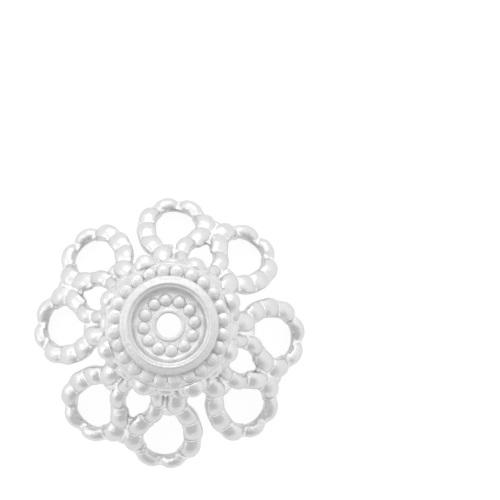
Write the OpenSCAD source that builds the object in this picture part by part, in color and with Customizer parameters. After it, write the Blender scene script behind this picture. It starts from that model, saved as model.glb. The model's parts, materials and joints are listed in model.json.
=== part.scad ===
// Filigree bead cap: a stepped round cup seated in a flaring, pierced skirt of eight beaded loops.
// Millimetres, Z up. The cap stands on the tips of its loops with the crown on top.
// The origin is on the axis of the hole, level with the lowest tips.

/* [Overall] */
// Height of the crown's rim above the loop tips
total_h = 12.4; // [11.8:0.1:13]
// Width across opposite loop tips
across = 20; // [19:0.1:21]
// Angle of the loops from the vertical, degrees
flare = 36; // [32:1:40]

/* [Crown cup] */
// Diameter of the hole for a headpin or cord
hole_d = 1.8; // [1.2:0.1:2.2]
// Outer radius of the cup's straight wall
cup_r = 4.2; // [4.1:0.05:4.25]
// Thickness of the cup's metal
cup_wall = 0.35; // [0.25:0.05:0.4]
// Number of granules round the hole
inner_grains = 12; // [8:1:13]
// Number of granules on the shoulder
outer_grains = 24; // [16:1:26]

/* [Skirt] */
// Radius of the skirt's outer face where it is upright
collar_r = 4.65; // [4.6:0.05:4.8]
// Thickness of the skirt's back sheet
sheet_t = 0.35; // [0.25:0.05:0.4]
// Height of an ordinary bead above the sheet
bead_h = 0.52; // [0.35:0.01:0.6]
// Number of petals, each a pair of loops
petals = 4; // [4:4]

/* [Hidden] */
petal_step = 360 / petals;
half_step = petal_step / 2;
slack = 0.05;
// How far a web lies inside both faces of the sheet
web_inset = 0.02;
// How far the rim of a loop's last bead lies outside the foot of the sheet's outer face
tip_reach = 0.06;
tip_r = across / 2 - tip_reach;
// How far a cutter runs past the metal that it cuts
over = 1;
// Steps of a full circle: the cup, the collar and the hole, a granule, a lump, a web's round end
smooth_fn = 96;
collar_fn = 48;
grain_fn = 24;
lump_fn = 12;
web_fn = 8;

// Columns of a strand's table, and the strand itself. Angles are from the petal's centre line.
// A strand starts at the collar beside the next petal, runs down and round its loop, and back up
// the middle to the lump on the centre line. One row for each bead.
ANGLE = 0; HEIGHT = 1; WIDE = 2; SHEET = 3; RISE = 4;
strand = [
    // angle, height, bead width, sheet width, bead height
    [38.4, 9.65, 1.20, 1.24, 0.58],  // upper bead of the outer stem
    [37.3, 7.95, 1.12, 1.20, 0.54],  // lower bead of the outer stem
    [28.8, 6.05, 1.50, 1.56, 0.62],  // broad bead where window and loop meet
    [36.2, 4.70, 1.30, 1.36, bead_h],
    [37.5, 3.18, 1.30, 1.36, bead_h],
    [34.3, 1.50, 1.26, 1.32, bead_h],
    [25.2, 0.50, 1.10, 1.16, bead_h],
    [14.0, 0.62, 1.14, 1.20, bead_h],
    [5.2, 1.94, 1.46, 1.64, bead_h],
    [5.6, 3.42, 1.42, 1.54, bead_h],
    [13.5, 5.02, 1.16, 1.22, bead_h],
    [14.0, 6.50, 0.96, 1.06, 0.46],  // small bead of the middle stem
    [8.8, 8.40, 1.06, 1.12, 0.52]    // long leaf of the middle stem
];
// Lumps that ring the collar: angle from the centre line, height, width, length, rise, and both sides
LUMP_W = 2; LUMP_L = 3; LUMP_RISE = 4; PAIRED = 5;
lumps = [
    [0, 10.15, 1.60, 1.75, 0.74, false],
    [half_step, 10.80, 1.60, 1.20, 0.84, false],
    [20.5, 9.85, 1.50, 1.05, 0.38, true]
];
// Where a strand ends beyond its last bead: angle and height
strand_top = [40.4, 10.9];
strand_end = [2.2, 10.0];
// Flat webs of bare sheet between strands: two ends, each an angle and a height, and a half width
webs = [
    [[0, 3.55], [0, 1.5], 0.42],
    [[0, 9.7], [0, 7.62], 0.32],
    [[half_step, 10.2], [half_step, 8.0], 0.36]
];
// Webs that tie the broad bead to the middle stem and round off the loop's narrow end
ties = [
    [[26, 5.95], [15.5, 5.85], 0.3],
    [[24.2, 5.22], [20.4, 5.3], 0.42]
];

// The upright wall turns into the flare through an arc of this radius
bend_r = 4;
bend_mid = (tip_r - collar_r) / tan(flare);
bend_top = bend_mid + bend_r * tan(flare / 2);
bend_low = bend_top - bend_r * sin(flare);

// Radius of the skirt's outer face, and its angle from the vertical, at height z
function face_r(z) =
    z >= bend_top ? collar_r
    : z <= bend_low ? tip_r - z * tan(flare)
    : collar_r + bend_r - sqrt(pow(bend_r, 2) - pow(bend_top - z, 2));
function lean(z) =
    z >= bend_top ? 0 : z <= bend_low ? flare : asin((bend_top - z) / bend_r);
function on_face(p) = [face_r(p[1]) * cos(p[0]), face_r(p[1]) * sin(p[0]), p[1]];
function out_of_face(p) =
    [cos(lean(p[1])) * cos(p[0]), cos(lean(p[1])) * sin(p[0]), sin(lean(p[1]))];
function unit(v) = v / norm(v);

// The strand's route through its bead centres, as a smooth curve in angle and height
route = concat([strand_top], [for (row = strand) [row[ANGLE], row[HEIGHT]]], [strand_end]);
function catmull(a, b, c, d, t) =
    0.5 * (2 * b + (c - a) * t + (2 * a - 5 * b + 4 * c - d) * t * t
        + (3 * b - a - 3 * c + d) * t * t * t);
function route_at(u) =
    let(i = min(floor(u), len(route) - 2), k = len(route) - 1)
    catmull(route[max(i - 1, 0)], route[i], route[i + 1], route[min(i + 2, k)], u - i);

// Share of a bead's full size at a fraction of its length, round like a ball
function swell(f) = sqrt(max(0, 1 - pow(2 * f - 1, 2)));
bead_stations = [0, 0.17, 0.5, 0.83];
// Height and width left in the valley between two beads, as shares of the bead's own
valley_share = 0.2;
waist_share = 0.8;
// Corners beside a bead's crest, as shares of its half width and of its height
crest_side = 0.74;
crest_drop = 0.72;
// Stretch of route, in beads, that gives the strand's direction at a ring
route_step = 0.04;

// One ring of the strand: a seven-sided section with a flat back and a domed front
function section(u, f, row) =
    let(
        p = route_at(u),
        ahead = route_at(min(u + route_step, len(route) - 1)),
        behind = route_at(max(u - route_step, 0)),
        n = out_of_face(p),
        along = unit(on_face(ahead) - on_face(behind)),
        side = unit(cross(n, along)),
        b = swell(f),
        w = row[WIDE] / 2 * (waist_share + (1 - waist_share) * b),
        s = max(row[SHEET] / 2, w),
        h = row[RISE] * (valley_share + (1 - valley_share) * b)
    )
    [for (q = [
        [-s, -sheet_t], [s, -sheet_t], [s, 0], [crest_side * w, crest_drop * h],
        [0, h], [-crest_side * w, crest_drop * h], [-s, 0]
    ]) on_face(p) + side * q[0] + n * q[1]];

// Sizes at a valley are the mean of the beads on both sides
function blend_row(i) = (strand[max(i - 1, 0)] + strand[min(i, len(strand) - 1)]) / 2;
strand_rings = concat(
    [for (i = [0 : len(strand) - 1]) for (f = bead_stations)
        section(i + 0.5 + f, f, f == 0 ? blend_row(i) : strand[i])],
    [section(len(strand) + 0.5, 0, blend_row(len(strand)))]
);
ring_points = 7;
strand_points = [for (ring = strand_rings) for (p = ring) p];
strand_low = min([for (p = strand_points) p[2]]);

// Heights of the cup's steps, before the whole cap is set down on its lowest tips
rim_z = total_h + strand_low;
recess_drop = 0.68;
shoulder_drop = 0.95;
flange_drop = 1.25;
floor_z = rim_z - recess_drop;
shoulder_z = rim_z - shoulder_drop;
flange_z = rim_z - flange_drop;
skirt_top = flange_z - slack;
cup_low = 9.35;

// The collar: its lower edge, how far its face lies inside the skirt's, and a round ridge on it
collar_low = 10.15;
collar_inset = 0.05;
ridge_out = 0.12;
ridge_up = 0.2;
ridge_top = 0.45;
collar_out = collar_r - collar_inset;
collar_in = cup_r + slack;
// The collar is drawn this much thicker inwards than it ends up, and is bored out with the lumps
bore_stock = 0.3;
collar_core = collar_in - bore_stock;
// The step for the flange is cut this far beyond the collar's face
step_over = 0.02;
seat_r = collar_out + step_over;

// Radii of the cup's steps, from the hole outwards
recess_r = 2.42;
rim_in = 2.9;
rim_mid = 3.1;
rim_out = 3.56;
foot_r = 3.68;
flange_r = 4.5;
inner_ring_r = 1.84;
inner_grain_r = 0.46;
outer_ring_r = 4.02;
outer_grain_r = 0.5;
// How far a shoulder granule's centre lies below the shoulder, and how deep each granule is rooted
outer_sink = 0.08;
grain_root = 0.2;
// Small bevels of the cup: the flange's edge, the rim's two sides, and the recess wall's inside
edge_cut = 0.12;
edge_drop = 0.07;
rim_turn = 0.15;

// Walls between rings, with flat ends
function tube_faces(rings, k) = concat(
    [for (i = [0 : rings - 2]) for (j = [0 : k - 1])
        let(a = i * k + j, b = i * k + (j + 1) % k) each [[a, b + k, b], [a, a + k, b + k]]],
    [[for (j = [0 : k - 1]) j]],
    [[for (j = [k - 1 : -1 : 0]) (rings - 1) * k + j]]
);

module beaded_strand()
    polyhedron(strand_points, tube_faces(len(strand_rings), ring_points), convexity = 8);

// An oval granule that lies on the skirt's face
module face_lump(row, angle)
    rotate([0, 0, angle])
        translate([face_r(row[HEIGHT]), 0, row[HEIGHT]])
            hull()
                scale([row[LUMP_RISE], row[LUMP_W] / 2, row[LUMP_L] / 2]) sphere(1, $fn = lump_fn);

// A flat web of sheet: round ends of the sheet's thickness, joined by a straight stretch
module web(from, to, half_width)
    hull()
        for (p = [from, to])
            translate(on_face(p) - out_of_face(p) * (sheet_t - web_inset))
                rotate([0, 90 - lean(p[1]), p[0]])
                    cylinder(r = half_width, h = sheet_t - 2 * web_inset, $fn = web_fn);

module collar()
    rotate_extrude($fn = collar_fn)
        polygon([
            [collar_core, collar_low], [collar_out, collar_low],
            [collar_out + ridge_out, collar_low + ridge_up], [collar_out, collar_low + ridge_top],
            [collar_out, rim_z], [collar_core, rim_z]
        ]);

// The space for the cup: the bore for its wall, and above it a wider step for its flange
module cup_seat()
    rotate_extrude($fn = collar_fn)
        polygon([
            [0, cup_low - over], [collar_in, cup_low - over], [collar_in, skirt_top],
            [seat_r, skirt_top], [seat_r, rim_z + over], [0, rim_z + over]
        ]);

module petal() {
    beaded_strand();
    mirror([0, 1, 0]) beaded_strand();
    for (row = lumps)
        for (side = row[PAIRED] ? [-1, 1] : [1])
            face_lump(row, side * row[ANGLE]);
    for (row = webs)
        web(row[0], row[1], row[2]);
    for (row = ties)
        for (side = [-1, 1])
            web([side * row[0][0], row[0][1]], [side * row[1][0], row[1][1]], row[2]);
}

module filigree_skirt()
    color("silver")
        translate([0, 0, -strand_low])
            difference() {
                union() {
                    collar();
                    for (k = [0 : petals - 1])
                        rotate([0, 0, k * petal_step]) petal();
                }
                cup_seat();
            }

// A ring of round granules, each centred near the surface that it stands on and cut off flat in it
module grain_ring(count, ring_r, grain_r, z)
    for (k = [0 : count - 1])
        rotate([0, 0, k * 360 / count])
            translate([ring_r, 0, z])
                rotate_extrude($fn = grain_fn)
                    intersection() {
                        circle(r = grain_r, $fn = grain_fn);
                        translate([0, -grain_root]) square([2 * grain_r, 2 * grain_r]);
                    }

// The cup from outside, solid down to its open edge
module cup_outside()
    rotate_extrude($fn = smooth_fn)
        polygon([
            [0, cup_low], [cup_r, cup_low], [cup_r, flange_z], [flange_r, flange_z],
            [flange_r, shoulder_z - edge_cut], [flange_r - edge_cut, shoulder_z],
            [foot_r, shoulder_z], [rim_out, rim_z - edge_drop], [rim_mid, rim_z],
            [rim_in, rim_z - edge_drop], [recess_r, floor_z], [0, floor_z]
        ]);

// The hollow under the cup, one wall thickness inside it
module cup_hollow()
    rotate_extrude($fn = smooth_fn)
        polygon([
            [0, cup_low - over], [cup_r - cup_wall, cup_low - over],
            [cup_r - cup_wall, shoulder_z - cup_wall], [foot_r - cup_wall, shoulder_z - cup_wall],
            [rim_out - cup_wall, rim_z - edge_drop - cup_wall],
            [rim_in + rim_turn, rim_z - edge_drop - cup_wall],
            [recess_r + rim_turn, floor_z - cup_wall], [0, floor_z - cup_wall]
        ]);

module crown_cup()
    color("gainsboro")
        translate([0, 0, -strand_low])
            difference() {
                union() {
                    cup_outside();
                    grain_ring(inner_grains, inner_ring_r, inner_grain_r, floor_z);
                    grain_ring(outer_grains, outer_ring_r, outer_grain_r, shoulder_z - outer_sink);
                }
                cup_hollow();
                translate([0, 0, floor_z - cup_wall - over])
                    cylinder(d = hole_d, h = cup_wall + 2 * over, $fn = collar_fn);
            }

crown_cup();
filigree_skirt();
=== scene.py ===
"""The looks of a filigree bead cap: a cast skirt of beaded loops and a turned, granulated crown cup.

Pieces are made in millimetres and set down in metres, in the frame of the CAD part.
"""
import json
import math
import random
from collections import namedtuple

import bmesh
import bpy
from bpy.props import FloatProperty, FloatVectorProperty, IntProperty, PointerProperty
from mathutils import Matrix, Vector


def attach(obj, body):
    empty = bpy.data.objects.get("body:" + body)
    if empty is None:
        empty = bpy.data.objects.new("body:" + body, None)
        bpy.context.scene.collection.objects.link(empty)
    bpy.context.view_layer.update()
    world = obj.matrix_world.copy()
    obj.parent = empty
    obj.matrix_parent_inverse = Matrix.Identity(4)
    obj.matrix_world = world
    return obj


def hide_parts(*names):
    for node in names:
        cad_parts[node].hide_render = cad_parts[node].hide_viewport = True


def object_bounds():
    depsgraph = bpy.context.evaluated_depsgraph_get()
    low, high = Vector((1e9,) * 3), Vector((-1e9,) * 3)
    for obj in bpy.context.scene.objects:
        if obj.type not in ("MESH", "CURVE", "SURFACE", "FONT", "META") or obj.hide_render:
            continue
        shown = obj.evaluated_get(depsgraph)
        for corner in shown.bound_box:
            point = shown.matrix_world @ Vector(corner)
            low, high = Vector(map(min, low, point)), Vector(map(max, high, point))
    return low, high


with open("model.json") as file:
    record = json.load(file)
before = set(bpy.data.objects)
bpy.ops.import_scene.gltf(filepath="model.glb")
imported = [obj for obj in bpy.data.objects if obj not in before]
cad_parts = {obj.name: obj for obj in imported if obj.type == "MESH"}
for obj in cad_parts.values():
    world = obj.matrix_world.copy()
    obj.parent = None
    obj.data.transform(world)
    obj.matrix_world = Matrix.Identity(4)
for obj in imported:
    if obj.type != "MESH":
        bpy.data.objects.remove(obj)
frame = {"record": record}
CAD_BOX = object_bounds()

bl_info = {
    "name": "Filigree bead cap",
    "version": (1, 0, 0),
    "blender": (4, 5, 0),
    "location": "View3D > Sidebar > Bead Cap",
    "description": "Models a pierced bead cap and its photo stage",
    "category": "Object",
}

# One millimetre in metres. Named lengths below are in millimetres, and angles in degrees.
MM = 0.001
HOLE_R = frame["record"]["mounts"][0]["dims"]["r_mm"]
TOTAL_H = CAD_BOX[1].z / MM

# The skirt repeats one petal of two mirrored strands. Its face stays inside the tips by the
# bulge of a bead, and bends from the upright collar to the flare on an arc.
PETALS = 4
PETAL_STEP = 360 / PETALS
TIP_BULGE = 0.075
BEND_R = 4.0

# The beads of one strand, down one side of its loop and up the other. A row is the angle from
# the petal's centre line, the height, the width of the bead and of its sheet, and the bead's rise.
Bead = namedtuple("Bead", "angle height wide sheet rise")
STRAND = [
    Bead(38.4, 9.65, 1.20, 1.24, 0.58),
    Bead(37.3, 7.95, 1.12, 1.20, 0.54),
    Bead(28.8, 6.05, 1.50, 1.56, 0.62),
    Bead(35.5, 4.70, 1.52, 1.40, 0.52),
    Bead(36.8, 3.18, 1.54, 1.42, 0.52),
    Bead(33.9, 1.56, 1.42, 1.32, 0.52),
    Bead(25.2, 0.50, 1.10, 1.08, 0.52),
    Bead(14.0, 0.62, 1.14, 1.12, 0.52),
    Bead(5.2, 1.94, 1.50, 1.50, 0.52),
    Bead(5.6, 3.42, 1.46, 1.44, 0.52),
    Bead(13.5, 5.02, 1.22, 1.16, 0.52),
    Bead(14.0, 6.50, 0.96, 1.06, 0.46),
    Bead(8.8, 8.40, 1.06, 1.12, 0.52),
]
# Angle and height of the strand's two ends, inside the collar
STRAND_TOP = (40.4, 10.9)
STRAND_END = (2.2, 10.0)

# Small differences between beads: angle, height, and share of a bead's size
STRAND_SEED = 11
ANGLE_SPREAD = 0.15
HEIGHT_SPREAD = 0.02
SIZE_SPREAD = 0.02

# Stations along one bead, closer where the valley is steep, and the step to either side that
# gives a strand's direction there, all as shares of a bead's length
STATIONS = (0, 0.03, 0.08, 0.16, 0.27, 0.4, 0.5, 0.6, 0.73, 0.84, 0.92, 0.97)
ROUTE_STEP = 0.04
# Depth of the valley between beads as a share of a bead's size, and how blunt a bead is
VALLEY_DEEP = 0.97
BEAD_BLUNT = 1.6

# A strand's section: its dome's width in a valley and what a bead adds, as shares of the bead's
# width, then the dome's inset and lift, the broken edges and the dimple behind a bead
WAIST = 0.52
BEAD_SWELL = 0.5
DOME_INSET = 0.98
DOME_LIFT = 0.02
DOME_STEPS = 11
BACK_EDGE = 0.05
FRONT_EDGE_WIDE = 0.04
FRONT_EDGE_DEEP = 0.06
DIMPLE_DEEP = 0.07
DIMPLE_FLANK_AT = 0.45
DIMPLE_FLANK_SHARE = 0.6

# Oval lumps round the collar
Lump = namedtuple("Lump", "angle height wide long rise")
LUMPS = [
    Lump(0, 10.15, 1.60, 1.75, 0.74),
    Lump(45, 10.80, 1.60, 1.20, 0.84),
    Lump(20.5, 9.85, 1.50, 1.05, 0.38),
    Lump(-20.5, 9.85, 1.50, 1.05, 0.38),
]

# Webs of bare sheet between strands. Each end is an angle and a height.
Web = namedtuple("Web", "start end half_wide")
WEBS = [
    Web((0, 3.55), (0, 1.5), 0.42),
    Web((0, 9.7), (0, 7.62), 0.32),
    Web((45, 10.2), (45, 8.0), 0.36),
    Web((26, 5.95), (15.5, 5.85), 0.3),
    Web((-26, 5.95), (-15.5, 5.85), 0.3),
    Web((24.2, 5.22), (20.4, 5.3), 0.42),
    Web((-24.2, 5.22), (-20.4, 5.3), 0.42),
]
# How far a web's middle lies in front of the sheet's, and how much thinner it is
WEB_LIFT = 0.05
WEB_THINNER = 0.14

# Levels of the crown, as depths below the rim, the foot of the cup's wall as a height, and the
# radius of the flange that stands on the skirt
FLOOR_DEEP = 0.68
SHOULDER_DEEP = 0.95
FLANGE_DEEP = 1.25
CUP_FOOT = 9.5
FLANGE_R = 4.53

# The collar's outer side: how far each corner stands out from its wall, and the height
COLLAR_FOOT = 10.15
COLLAR_SIDE = [(0, COLLAR_FOOT), (0.12, 10.32), (0, 10.5), (0.1, 10.68)]
COLLAR_INSET = 0.05
COLLAR_STEPS = 128

# The cup's seat, bored in the skirt: a gap round the wall, then a bite into the flange's
# underside and edge, as solder closes them, and the foot and the middle of the bore
SEAT_GAP = 0.05
SEAT_BITE = 0.01
SEAT_R = FLANGE_R - 0.02
SEAT_FOOT = 9.2
SEAT_MIDDLE = 0.5

# Height that fusing and smoothing take off the tips, the share of faces that thinning keeps, and
# the length under which an edge is a splinter
TIP_LOSS = 0.011
KEPT_SHARE = 0.27
SPLINTER = 0.0005

# The crown's outline from the hole outward, in stretches. A corner is a radius and a height
# above the stretch's own level: the recess's floor, the rim, the shoulder or the flange's foot.
LIP_ON_FLOOR = [(HOLE_R, 0.02), (0.98, 0.07), (1.12, 0.07), (1.22, 0)]
COVE_ON_FLOOR = [
    (2.3, 0), (2.42, 0.05), (2.54, 0.16), (2.63, 0.31), (2.71, 0.46), (2.79, 0.53), (2.86, 0.53)]
RINGS_ON_RIM = [
    (2.92, -0.07), (3.0, -0.01), (3.07, 0), (3.14, -0.03), (3.2, -0.09), (3.46, -0.13),
    (3.56, -0.2)]
LEDGE_ON_SHOULDER = [(3.62, 0.06), (3.7, 0), (FLANGE_R - 0.05, 0), (FLANGE_R, -0.05)]
EDGE_ON_FLANGE = [(FLANGE_R, 0.03), (FLANGE_R - 0.04, 0)]
# The crown's underside, each stretch a wall's thickness lower than its level
UNDER_SHOULDER = [(3.35, 0)]
UNDER_RIM = [(3.2, -0.16), (2.98, -0.1)]
UNDER_FLOOR = [(2.6, 0)]
# Steps of the turning, the softening of its corners, and the angle past which an edge is sharp
CROWN_STEPS = 192
CROWN_SOFTEN = 0.025
CROWN_SHARP = 50

# Rings of granules on the crown. wear is the share of their rise that they lose at a right
# angle to the crispest side, and half of what they lose opposite it.
GrainRing = namedtuple("GrainRing", "ring_r half_wide rise wear")
INNER_RING = GrainRing(1.85, 0.49, 0.3, 0.15)
OUTER_RING = GrainRing(3.93, 0.53, 0.32, 0.24)
CRISP_SIDE = -21
# How far below their level the domes start and their roots end
GRAIN_SINK = 0.03
GRAIN_ROOT = 0.25
# Small differences between granules, as shares of a step round the ring, of the width and of
# the rise, and the share of the rise that a new granule has
GRAIN_SEED = 5
GRAIN_SHIFT = (-0.04, 0.04)
GRAIN_WIDER = (-0.05, 0.02)
GRAIN_HIGHER = (-0.12, 0.0)
GRAIN_FULL = 1.05

# The light tent's opening, seen from the cap, on the side away from the key light
DIM_SIDE = Vector((-0.72, -0.32, 0.62)).normalized()
# Area lamps: place and side in metres, power in watts
Lamp = namedtuple("Lamp", "name place side power")
LAMPS = [
    Lamp("key", (0.2, 0.1, 0.2), 0.16, 0.15),
    Lamp("fill", (-0.1, 0.2, 0.16), 0.2, 0.08),
]
# Half the side of the floor, in metres
FLOOR_HALF = 0.6

# The photograph's lower-left view: 281 mm away, 87 degrees above the table
EYE = (-12.26, -6.82, 291.95)
AIM = (7.35, -3.16, 11.53)
VIEW_UP = (0.9147, 0.4011, 0.0497)
FOCAL_LENGTH = 280.3


def linear(code):
    """An sRGB hex colour such as "#dcdcdc" as linear red, green, blue and alpha."""
    parts = [int(code[i:i + 2], 16) / 255 for i in (1, 3, 5)]
    return tuple(
        c / 12.92 if c <= 0.04045 else ((c + 0.055) / 1.055) ** 2.4 for c in parts
    ) + (1.0,)


class CapSizes(bpy.types.PropertyGroup):
    across: FloatProperty(
        name="Width across tips", description="Width across opposite loop tips",
        default=0.02, unit="LENGTH")
    collar_r: FloatProperty(
        name="Collar radius", description="Outer radius of the skirt where it is upright",
        default=0.00465, unit="LENGTH")
    flare: FloatProperty(
        name="Flare", description="Angle of the loops from the vertical",
        default=math.radians(36), subtype="ANGLE")
    sheet: FloatProperty(
        name="Sheet", description="Thickness of the skirt's back sheet",
        default=0.00035, unit="LENGTH")
    cup_r: FloatProperty(
        name="Cup radius", description="Outer radius of the cup's wall",
        default=0.0042, unit="LENGTH")
    cup_wall: FloatProperty(
        name="Cup wall", description="Thickness of the cup's metal",
        default=0.00035, unit="LENGTH")
    inner_grains: IntProperty(
        name="Inner granules", description="Granules round the hole", default=12)
    outer_grains: IntProperty(
        name="Outer granules", description="Granules on the shoulder", default=24)
    voxel: FloatProperty(
        name="Fusing step", description="Grid that fuses the skirt's strands into one casting",
        default=0.00006, unit="LENGTH")


class CapColours(bpy.types.PropertyGroup):
    plate: FloatVectorProperty(
        name="Silver plate", description="Colour of the clean plate",
        subtype="COLOR", size=4, default=linear("#dcdcdc"))
    plate_dull: FloatVectorProperty(
        name="Dull plate", description="Colour where the plate is rubbed and matt",
        subtype="COLOR", size=4, default=linear("#cfcfcf"))
    # Painted highlight: a near-white colour put into the valleys between beads to stand in for
    # bright lines of light
    valley_highlight_and_frost: FloatVectorProperty(
        name="Painted valley highlight", description="Colour painted into the valleys as a highlight line",
        subtype="COLOR", size=4, default=linear("#fcfcfc"))
    floor: FloatVectorProperty(
        name="Floor", description="Colour of the opal table before its own light",
        subtype="COLOR", size=4, default=linear("#7a7a7a"))


# The skirt's face

class Face:
    """The skirt's outer face: upright at the collar, then an arc, then a cone."""

    def __init__(self, sizes):
        self.sheet = sizes.sheet / MM
        self.collar_r = sizes.collar_r / MM
        self.tip_r = sizes.across / MM / 2 - TIP_BULGE
        self.flare = sizes.flare
        knee = (self.tip_r - self.collar_r) / math.tan(self.flare)
        self.bend_top = knee + BEND_R * math.tan(self.flare / 2)
        self.bend_low = self.bend_top - BEND_R * math.sin(self.flare)

    def radius(self, z):
        if z >= self.bend_top:
            return self.collar_r
        if z <= self.bend_low:
            return self.tip_r - z * math.tan(self.flare)
        return self.collar_r + BEND_R - math.sqrt(BEND_R ** 2 - (self.bend_top - z) ** 2)

    def lean(self, z):
        """Angle of the face from the vertical, in radians."""
        if z >= self.bend_top:
            return 0.0
        if z <= self.bend_low:
            return self.flare
        return math.asin((self.bend_top - z) / BEND_R)

    def point(self, angle, z):
        a, r = math.radians(angle), self.radius(z)
        return Vector((r * math.cos(a), r * math.sin(a), z))

    def normal(self, angle, z):
        a, t = math.radians(angle), self.lean(z)
        return Vector((math.cos(t) * math.cos(a), math.cos(t) * math.sin(a), math.sin(t)))


# The skirt's strands

def route_at(route, u):
    """A smooth curve through the rows of route, at row number u."""
    last = len(route) - 1
    i = min(int(u), last - 1)
    t = u - i
    a, b, c, d = (route[max(i - 1, 0)], route[i], route[i + 1], route[min(i + 2, last)])
    return tuple(
        0.5 * (2 * q + (r - p) * t + (2 * p - 5 * q + 4 * r - s) * t * t
               + (3 * q - p - 3 * r + s) * t ** 3)
        for p, q, r, s in zip(a, b, c, d))


def swell(f):
    """Share of a bead's full size at a fraction of its length: balls with a soft valley between."""
    slope = math.sin(math.pi / 2 * abs(2 * f - 1) ** BEAD_BLUNT)
    return math.sqrt(1 - (VALLEY_DEEP * slope) ** 2)


def section(wide, sheet, rise, full, thick):
    """Corners of a strand's section, each a place across it and a place out from the face.

    full is the share of the bead's full size, and thick the thickness of the sheet.
    """
    # The beads bulge over the edges of an even, narrower ribbon of sheet
    dome = DOME_INSET * (wide / 2 * (WAIST + BEAD_SWELL * full))
    half = sheet / 2
    dimple = DIMPLE_DEEP * full
    flank = DIMPLE_FLANK_AT * half
    corners = [
        (-half, BACK_EDGE - thick), (BACK_EDGE - half, -thick),
        (-flank, dimple * DIMPLE_FLANK_SHARE - thick), (0, dimple - thick),
        (flank, dimple * DIMPLE_FLANK_SHARE - thick),
        (half - BACK_EDGE, -thick), (half, BACK_EDGE - thick),
        (half, -FRONT_EDGE_DEEP), (half - FRONT_EDGE_WIDE, 0.0)]
    for step in range(DOME_STEPS):
        turn = math.pi * (step + 0.5) / DOME_STEPS
        corners.append((dome * math.cos(turn), DOME_LIFT + rise * full * math.sin(turn)))
    return corners + [(FRONT_EDGE_WIDE - half, 0.0), (-half, -FRONT_EDGE_DEEP)]


def strand_rings(face, draw):
    """Places of the section's corners at each station along one strand."""
    route = [STRAND_TOP] + [(bead.angle, bead.height) for bead in STRAND] + [STRAND_END]
    route = [
        (a + draw.uniform(-ANGLE_SPREAD, ANGLE_SPREAD),
         z + draw.uniform(-HEIGHT_SPREAD, HEIGHT_SPREAD))
        for a, z in route]
    sizes = [
        tuple(v * (1 + draw.uniform(-SIZE_SPREAD, SIZE_SPREAD))
              for v in (bead.wide, bead.sheet, bead.rise))
        for bead in STRAND]
    rings = []
    for i in range(len(STRAND) + 1):
        for f in STATIONS if i < len(STRAND) else (0,):
            if f:
                wide, sheet, rise = sizes[i]
            else:
                before, after = sizes[max(i - 1, 0)], sizes[min(i, len(STRAND) - 1)]
                wide, sheet, rise = ((p + q) / 2 for p, q in zip(before, after))
            # A bead's own row of the route is at the middle of its length
            u = i + 0.5 + f
            angle, z = route_at(route, u)
            ahead = face.point(*route_at(route, min(u + ROUTE_STEP, len(route) - 1)))
            behind = face.point(*route_at(route, max(u - ROUTE_STEP, 0)))
            normal = face.normal(angle, z)
            side = normal.cross((ahead - behind).normalized()).normalized()
            foot = face.point(angle, z)
            corners = section(wide, sheet, rise, swell(f), face.sheet)
            rings.append([foot + side * x + normal * y for x, y in corners])
    return rings


def add_strand(bm, rings):
    """A closed strand: one circle laid on the first ring, extruded on to each, its ends filled."""
    made = bmesh.ops.create_circle(bm, segments=len(rings[0]), radius=1.0)
    ring = sorted(made["verts"], key=lambda v: math.atan2(v.co.y, v.co.x))
    for v, place in zip(ring, rings[0]):
        v.co = place
    edges = list({e for v in ring for e in v.link_edges})
    first = list(edges)
    for places in rings[1:]:
        grown = bmesh.ops.extrude_edge_only(bm, edges=edges)["geom"]
        new = {g for g in grown if isinstance(g, bmesh.types.BMVert)}
        ring = [next(e.other_vert(v) for e in v.link_edges if e.other_vert(v) in new)
                for v in ring]
        for v, place in zip(ring, places):
            v.co = place
        edges = [g for g in grown if isinstance(g, bmesh.types.BMEdge)
                 and g.verts[0] in new and g.verts[1] in new]
    bmesh.ops.holes_fill(bm, edges=first + edges, sides=0)


def stand_on_face(face, angle, z, below=0.0):
    """Turns X to the face's normal and Z up along the face, at a place on or below the face."""
    return (
        Matrix.Translation(face.point(angle, z) - face.normal(angle, z) * below)
        @ Matrix.Rotation(math.radians(angle), 4, "Z")
        @ Matrix.Rotation(-face.lean(z), 4, "Y"))


def add_lump(bm, face, lump, turn):
    """Half an oval ball that stands out from the face."""
    place = Matrix.Rotation(turn, 4, "Z") @ stand_on_face(face, lump.angle, lump.height)
    bmesh.ops.create_icosphere(
        bm, subdivisions=4, radius=1.0,
        matrix=place @ Matrix.Diagonal((lump.rise, lump.wide / 2, lump.long / 2, 1)))


def add_web(bm, face, web, turn):
    """Two discs and the hull round both, thinner than the sheet and clear of its smooth back."""
    discs = []
    for angle, z in (web.start, web.end):
        place = (Matrix.Rotation(turn, 4, "Z")
                 @ stand_on_face(face, angle, z, face.sheet / 2 - WEB_LIFT)
                 @ Matrix.Rotation(math.pi / 2, 4, "Y"))
        made = bmesh.ops.create_cone(
            bm, cap_ends=True, segments=24, radius1=web.half_wide, radius2=web.half_wide,
            depth=face.sheet - WEB_THINNER, matrix=place)
        discs += made["verts"]
    hull = bmesh.ops.convex_hull(bm, input=discs)
    inside = set(hull["geom_interior"] + hull["geom_unused"])
    bmesh.ops.delete(
        bm, geom=[g for g in inside if isinstance(g, bmesh.types.BMVert)], context="VERTS")


def move_into(whole, part):
    """Adds a part to the whole, with its faces turned outward. The part goes."""
    bmesh.ops.recalc_face_normals(part, faces=part.faces)
    mesh = bpy.data.meshes.new("part")
    part.to_mesh(mesh)
    part.free()
    whole.from_mesh(mesh)
    bpy.data.meshes.remove(mesh)


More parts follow.
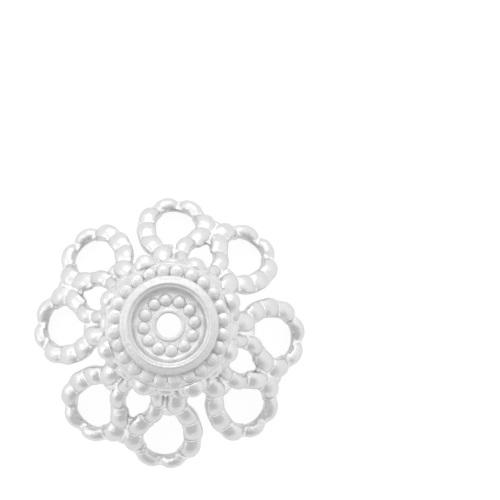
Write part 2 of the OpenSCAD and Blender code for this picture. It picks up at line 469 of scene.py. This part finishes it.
def loose_petals(face):
    """All strands, lumps and webs of the skirt, not fused yet."""
    draw = random.Random(STRAND_SEED)
    bm = bmesh.new()
    for k in range(PETALS):
        turn = math.radians(k * PETAL_STEP)
        for mirrored in (False, True):
            strand = bmesh.new()
            add_strand(strand, strand_rings(face, draw))
            if mirrored:
                bmesh.ops.scale(strand, vec=(1, -1, 1), verts=strand.verts)
            bmesh.ops.rotate(
                strand, verts=strand.verts, matrix=Matrix.Rotation(turn, 3, "Z"))
            move_into(bm, strand)
        for lump in LUMPS:
            add_lump(bm, face, lump, turn)
        for web in WEBS:
            add_web(bm, face, web, turn)
    return bm


# Turned shapes

def raised(stretch, level):
    """A stretch's corners, with their heights counted from a level."""
    return [(r, level + up) for r, up in stretch]


def lathe(bm, outline, steps, soften=0.0):
    """Spins a closed outline of radius and height round the cap's axis."""
    verts = [bm.verts.new((r, 0, z)) for r, z in outline]
    edges = [bm.edges.new((v, verts[i - 1])) for i, v in enumerate(verts)]
    if soften:
        bmesh.ops.bevel(
            bm, geom=verts, offset=soften, affect="VERTICES", segments=3, profile=0.5,
            material=-1)
        verts, edges = list(bm.verts), list(bm.edges)
    bmesh.ops.spin(
        bm, geom=verts + edges, cent=(0, 0, 0), axis=(0, 0, 1), angle=2 * math.pi,
        steps=steps, use_merge=True)


def crown_outline(wall, cup_r):
    """The cup's section: over the crown from the hole outward, down the wall and back inside."""
    rim, floor = TOTAL_H, TOTAL_H - FLOOR_DEEP
    shoulder, flange = TOTAL_H - SHOULDER_DEEP, TOTAL_H - FLANGE_DEEP
    inside = cup_r - wall
    return (
        [(HOLE_R, floor - wall)]
        + raised(LIP_ON_FLOOR, floor) + raised(COVE_ON_FLOOR, floor)
        + raised(RINGS_ON_RIM, rim) + raised(LEDGE_ON_SHOULDER, shoulder)
        + raised(EDGE_ON_FLANGE, flange)
        + [(cup_r, flange), (cup_r, CUP_FOOT), (inside, CUP_FOOT), (inside, shoulder - wall)]
        + raised(UNDER_SHOULDER, shoulder - wall) + raised(UNDER_RIM, rim - wall)
        + raised(UNDER_FLOOR, floor - wall))


def add_granules(bm, count, ring, level, draw):
    """A ring of flattened domes on a level, each of which ends inside the metal under it."""
    for k in range(count):
        turn = 2 * math.pi * (k + draw.uniform(*GRAIN_SHIFT)) / count
        wide = ring.half_wide * (1 + draw.uniform(*GRAIN_WIDER))
        worn = ring.wear * (1 - math.cos(turn - math.radians(CRISP_SIDE)))
        rise = ring.rise * (GRAIN_FULL - worn + draw.uniform(*GRAIN_HIGHER))
        place = (Matrix.Rotation(turn, 4, "Z")
                 @ Matrix.Translation((ring.ring_r, 0, level - GRAIN_SINK))
                 @ Matrix.Diagonal((wide, wide, rise, 1)))
        made = bmesh.ops.create_icosphere(bm, subdivisions=4, radius=1.0, matrix=place)
        for v in made["verts"]:
            v.co.z = max(v.co.z, level - GRAIN_ROOT)


# From working shapes to pieces

def temporary(bm, name):
    """A working object in millimetres, with its faces turned outward."""
    bmesh.ops.recalc_face_normals(bm, faces=bm.faces)
    mesh = bpy.data.meshes.new(name)
    bm.to_mesh(mesh)
    bm.free()
    obj = bpy.data.objects.new(name, mesh)
    bpy.context.scene.collection.objects.link(obj)
    return obj


def scraps(bm):
    """Vertices that hang on nothing, such as the closed bubbles that fusing leaves in the metal."""
    body = {min(bm.verts, key=lambda v: v.co.z)}
    edge_of_body = set(body)
    while edge_of_body:
        edge_of_body = {e.other_vert(v) for v in edge_of_body for e in v.link_edges} - body
        body |= edge_of_body
    return [v for v in bm.verts if v not in body]


def settled(obj, name, sharp=None):
    """The modified mesh in metres, as a new object at the origin. The working object goes."""
    graph = bpy.context.evaluated_depsgraph_get()
    mesh = bpy.data.meshes.new_from_object(obj.evaluated_get(graph))
    bpy.data.objects.remove(obj)
    mesh.name = name
    bm = bmesh.new()
    bm.from_mesh(mesh)
    bmesh.ops.delete(bm, geom=scraps(bm), context="VERTS")
    bmesh.ops.dissolve_degenerate(bm, dist=SPLINTER, edges=bm.edges)
    # Thinning leaves a few loose edges, and flaps of one face, inside narrow corners
    flaps = [f for f in bm.faces if any(e.is_boundary for e in f.edges)]
    bmesh.ops.delete(bm, geom=flaps, context="FACES")
    bmesh.ops.delete(bm, geom=[e for e in bm.edges if e.is_wire], context="EDGES")
    bmesh.ops.scale(bm, vec=(MM, MM, MM), verts=bm.verts)
    bm.to_mesh(mesh)
    bm.free()
    mesh.polygons.foreach_set("use_smooth", [True] * len(mesh.polygons))
    if sharp:
        mesh.set_sharp_from_angle(angle=sharp)
    piece = bpy.data.objects.new(name, mesh)
    bpy.context.scene.collection.objects.link(piece)
    return piece


def hand_over(piece, node, material):
    """Gives a piece its finish, and lets it take the place of its CAD node."""
    piece.data.materials.clear()
    piece.data.materials.append(material)
    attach(piece, "root")
    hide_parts(node)


# Materials and light

def add_node(tree, kind, settings=None, links=None, **attributes):
    """Adds a node, sets its attributes and sockets, and links sockets to it."""
    node = tree.nodes.new(kind)
    for key, value in attributes.items():
        setattr(node, key, value)
    for key, value in (settings or {}).items():
        node.inputs[key].default_value = value
    for key, source in (links or {}).items():
        tree.links.new(source, node.inputs[key])
    return node


def silver_plated_brass(name, burnish, valley_highlight_and_frost_share, dents_deep, grit):
    """Brass with a thin silver plate, tumbled bright but not mirror polished. The eye gets grey,
    satin domes with soft highlights, a faint orange-peel from the casting, and painted highlight
    lines in the matt valleys. burnish is the roughness of the brightest places, the valleys' share,
    from 0 to 1, how far the valleys are painted white as a highlight and made matt, and dents_deep
    and grit the depths of the dents and of the pits, in millimetres."""
    patch_wide, dent_wide, pit_wide = 1.5, 0.32, 0.12
    dulling, frost_rough = 0.12, 0.8
    colours = bpy.context.scene.cap_colours
    mat = bpy.data.materials.new(name)
    mat.use_nodes = True
    tree = mat.node_tree
    tree.nodes.clear()
    place = add_node(tree, "ShaderNodeTexCoord").outputs["Object"]
    # Patches of wear a millimetre and a half across
    patches = add_node(
        tree, "ShaderNodeTexNoise", {"Scale": 1 / (patch_wide * MM), "Detail": 3.0},
        {"Vector": place})
    tone = add_node(
        tree, "ShaderNodeMix", {"A": colours.plate, "B": colours.plate_dull},
        {"Factor": patches.outputs["Fac"]}, data_type="RGBA")
    rough = add_node(
        tree, "ShaderNodeMapRange",
        {"From Min": 0.3, "From Max": 0.7, "To Min": burnish, "To Max": burnish + dulling},
        {"Value": patches.outputs["Fac"]})
    # Valleys between beads get matt plate and a painted highlight: their colour is mixed towards
    # white to stand in for bright lines of light. The high places are burnished.
    crease = add_node(tree, "ShaderNodeNewGeometry").outputs["Pointiness"]
    valley_highlight_and_frost = add_node(
        tree, "ShaderNodeMapRange",
        {"From Min": 0.498, "From Max": 0.482, "To Min": 0.0, "To Max": valley_highlight_and_frost_share},
        {"Value": crease})
    # Painted highlight: the colour in the valleys is mixed towards near-white
    colour = add_node(
        tree, "ShaderNodeMix", {"B": colours.valley_highlight_and_frost},
        {"Factor": valley_highlight_and_frost.outputs["Result"], "A": tone.outputs["Result"]}, data_type="RGBA")
    matt = add_node(
        tree, "ShaderNodeMix", {"B": frost_rough},
        {"Factor": valley_highlight_and_frost.outputs["Result"], "A": rough.outputs["Result"]})
    # Casting skin: soft dents 0.32 mm apart, and pits 0.12 mm apart that dull the gloss
    dents = add_node(
        tree, "ShaderNodeTexNoise", {"Scale": 1 / (dent_wide * MM), "Detail": 2.0},
        {"Vector": place})
    pits = add_node(
        tree, "ShaderNodeTexNoise", {"Scale": 1 / (pit_wide * MM), "Detail": 2.0},
        {"Vector": place})
    broad = add_node(
        tree, "ShaderNodeBump", {"Strength": 1.0, "Distance": dents_deep * MM},
        {"Height": dents.outputs["Fac"]})
    fine = add_node(
        tree, "ShaderNodeBump", {"Strength": 1.0, "Distance": grit * MM},
        {"Height": pits.outputs["Fac"], "Normal": broad.outputs["Normal"]})
    shader = add_node(
        tree, "ShaderNodeBsdfPrincipled", {"Metallic": 1.0},
        {"Base Color": colour.outputs["Result"], "Roughness": matt.outputs["Result"],
         "Normal": fine.outputs["Normal"]})
    add_node(tree, "ShaderNodeOutputMaterial", links={"Surface": shader.outputs["BSDF"]})
    return mat


def opal_acrylic():
    """Opal acrylic lit from below. The eye gets an even white inside the loops."""
    mat = bpy.data.materials.new("opal acrylic light table")
    mat.use_nodes = True
    shader = mat.node_tree.nodes["Principled BSDF"]
    shader.inputs["Base Color"].default_value = bpy.context.scene.cap_colours.floor
    shader.inputs["Roughness"].default_value = 0.9
    shader.inputs["Emission Color"].default_value = (1, 1, 1, 1)
    shader.inputs["Emission Strength"].default_value = 0.85
    return mat


def light_tent():
    """A white tent, open to a dim room on one side, which the domes mirror as soft grey spots."""
    world = bpy.data.worlds.new("light tent")
    world.use_nodes = True
    tree = world.node_tree
    tree.nodes.clear()
    way = add_node(tree, "ShaderNodeTexCoord").outputs["Generated"]
    toward = add_node(
        tree, "ShaderNodeVectorMath", {1: DIM_SIDE}, {0: way}, operation="DOT_PRODUCT")
    shade = add_node(
        tree, "ShaderNodeMapRange",
        {"From Min": 0.3, "From Max": 0.95, "To Min": 1.2, "To Max": 0.7},
        {"Value": toward.outputs["Value"]}, interpolation_type="SMOOTHSTEP")
    light = add_node(
        tree, "ShaderNodeBackground", {"Color": (1, 1, 1, 1)},
        {"Strength": shade.outputs["Result"]})
    add_node(tree, "ShaderNodeOutputWorld", links={"Surface": light.outputs["Background"]})
    return world


# Operators

class BEADCAP_OT_skirt(bpy.types.Operator):
    """Models the pierced skirt of beaded loops as one casting"""
    bl_idname = "beadcap.skirt"
    bl_label = "Filigree skirt"

    def execute(self, context):
        sizes = context.scene.cap_sizes
        face = Face(sizes)
        bm = loose_petals(face)
        # The tips start below the table by what fusing and smoothing are about to take off them
        low = min(v.co.z for v in bm.verts) + TIP_LOSS
        seat = TOTAL_H - FLANGE_DEEP + SEAT_BITE
        inside = sizes.cup_r / MM + SEAT_GAP
        outside = face.collar_r - COLLAR_INSET
        collar = bmesh.new()
        lathe(
            collar,
            [(inside, COLLAR_FOOT)] + [(outside + out, z) for out, z in COLLAR_SIDE]
            + [(outside - COLLAR_INSET, seat + low), (inside, seat + low)],
            COLLAR_STEPS)
        move_into(bm, collar)
        bmesh.ops.translate(bm, vec=(0, 0, -low), verts=bm.verts)
        working = temporary(bm, "skirt_working")

        # The cup's seat is bored out of the lumps and stems
        cut = bmesh.new()
        lathe(
            cut,
            [(SEAT_MIDDLE, SEAT_FOOT), (inside, SEAT_FOOT), (inside, seat), (SEAT_R, seat),
             (SEAT_R, TOTAL_H), (SEAT_MIDDLE, TOTAL_H)],
            COLLAR_STEPS)
        cutter = temporary(cut, "seat_cutter")

        fuse = working.modifiers.new("fuse", "REMESH")
        fuse.mode = "VOXEL"
        fuse.voxel_size = sizes.voxel / MM * 1
        bore = working.modifiers.new("bore", "BOOLEAN")
        bore.operation = "DIFFERENCE"
        bore.object = cutter
        bore.solver = "MANIFOLD"
        soft = working.modifiers.new("soft", "SMOOTH")
        soft.factor = 0.5
        soft.iterations = 5
        thin = working.modifiers.new("thin", "DECIMATE")
        thin.ratio = KEPT_SHARE
        piece = settled(working, "filigree_skirt_cast")
        bpy.data.objects.remove(cutter)
        hand_over(
            piece, "filigree_skirt",
            silver_plated_brass(
                # The skirt's valleys get the full painted highlight and matt plate
                "silver-plated cast brass", burnish=0.27, valley_highlight_and_frost_share=1.0, dents_deep=0.05,
                grit=0.02))
        return {"FINISHED"}


class BEADCAP_OT_cup(bpy.types.Operator):
    """Models the stepped crown cup with its two rings of granules"""
    bl_idname = "beadcap.cup"
    bl_label = "Crown cup"

    def execute(self, context):
        sizes = context.scene.cap_sizes
        bm = bmesh.new()
        lathe(
            bm, crown_outline(sizes.cup_wall / MM, sizes.cup_r / MM), CROWN_STEPS,
            CROWN_SOFTEN)
        shell = temporary(bm, "cup_working")
        grains = bmesh.new()
        draw = random.Random(GRAIN_SEED)
        add_granules(grains, sizes.inner_grains, INNER_RING, TOTAL_H - FLOOR_DEEP, draw)
        add_granules(grains, sizes.outer_grains, OUTER_RING, TOTAL_H - SHOULDER_DEEP, draw)
        granules = temporary(grains, "grains_working")
        join = shell.modifiers.new("join", "BOOLEAN")
        join.operation = "UNION"
        join.object = granules
        join.solver = "MANIFOLD"
        piece = settled(shell, "crown_cup_turned", math.radians(CROWN_SHARP))
        bpy.data.objects.remove(granules)
        hand_over(
            piece, "crown_cup",
            silver_plated_brass(
                # The cup's hollows get a slight painted highlight and some matt plate
                "silver-plated turned brass", burnish=0.4, valley_highlight_and_frost_share=0.3, dents_deep=0.04,
                grit=0.035))
        return {"FINISHED"}


class BEADCAP_OT_stage(bpy.types.Operator):
    """Lays the pale floor, the studio light and the camera above the crown"""
    bl_idname = "beadcap.stage"
    bl_label = "Stage"

    def execute(self, context):
        scene = context.scene
        bm = bmesh.new()
        bmesh.ops.create_grid(bm, x_segments=1, y_segments=1, size=FLOOR_HALF)
        mesh = bpy.data.meshes.new("floor")
        bm.to_mesh(mesh)
        bm.free()
        mesh.materials.append(opal_acrylic())
        floor = bpy.data.objects.new("floor", mesh)
        scene.collection.objects.link(floor)
        scene.world = light_tent()

        for row in LAMPS:
            data = bpy.data.lights.new(row.name, "AREA")
            data.size = row.side
            data.energy = row.power
            lamp = bpy.data.objects.new(row.name, data)
            lamp.location = row.place
            lamp.rotation_euler = (-Vector(row.place)).to_track_quat("-Z", "Y").to_euler()
            scene.collection.objects.link(lamp)

        eye = Vector(EYE) * MM
        look = (Vector(AIM) * MM - eye).normalized()
        right = look.cross(Vector(VIEW_UP)).normalized()
        up = right.cross(look)
        data = bpy.data.cameras.new("camera")
        data.lens = FOCAL_LENGTH
        data.clip_start = 0.01
        camera = bpy.data.objects.new("camera", data)
        turn = Matrix((right, up, -look)).transposed().to_4x4()
        camera.matrix_world = Matrix.Translation(eye) @ turn
        scene.collection.objects.link(camera)
        scene.camera = camera
        scene.view_settings.view_transform = "Standard"
        return {"FINISHED"}


class BEADCAP_PT_panel(bpy.types.Panel):
    bl_idname = "BEADCAP_PT_panel"
    bl_label = "Bead Cap"
    bl_space_type = "VIEW_3D"
    bl_region_type = "UI"
    bl_category = "Bead Cap"

    def draw(self, context):
        for group in (context.scene.cap_sizes, context.scene.cap_colours):
            for key in group.__annotations__:
                self.layout.prop(group, key)
        for operator in OPERATORS:
            self.layout.operator(operator.bl_idname)


OPERATORS = (BEADCAP_OT_skirt, BEADCAP_OT_cup, BEADCAP_OT_stage)
CLASSES = (CapSizes, CapColours) + OPERATORS + (BEADCAP_PT_panel,)


def register():
    for cls in CLASSES:
        bpy.utils.register_class(cls)
    bpy.types.Scene.cap_sizes = PointerProperty(type=CapSizes)
    bpy.types.Scene.cap_colours = PointerProperty(type=CapColours)


def unregister():
    del bpy.types.Scene.cap_colours
    del bpy.types.Scene.cap_sizes
    for cls in reversed(CLASSES):
        bpy.utils.unregister_class(cls)


def main():
    register()
    bpy.ops.beadcap.skirt()
    bpy.ops.beadcap.cup()
    bpy.ops.beadcap.stage()


if __name__ == "__main__":
    main()
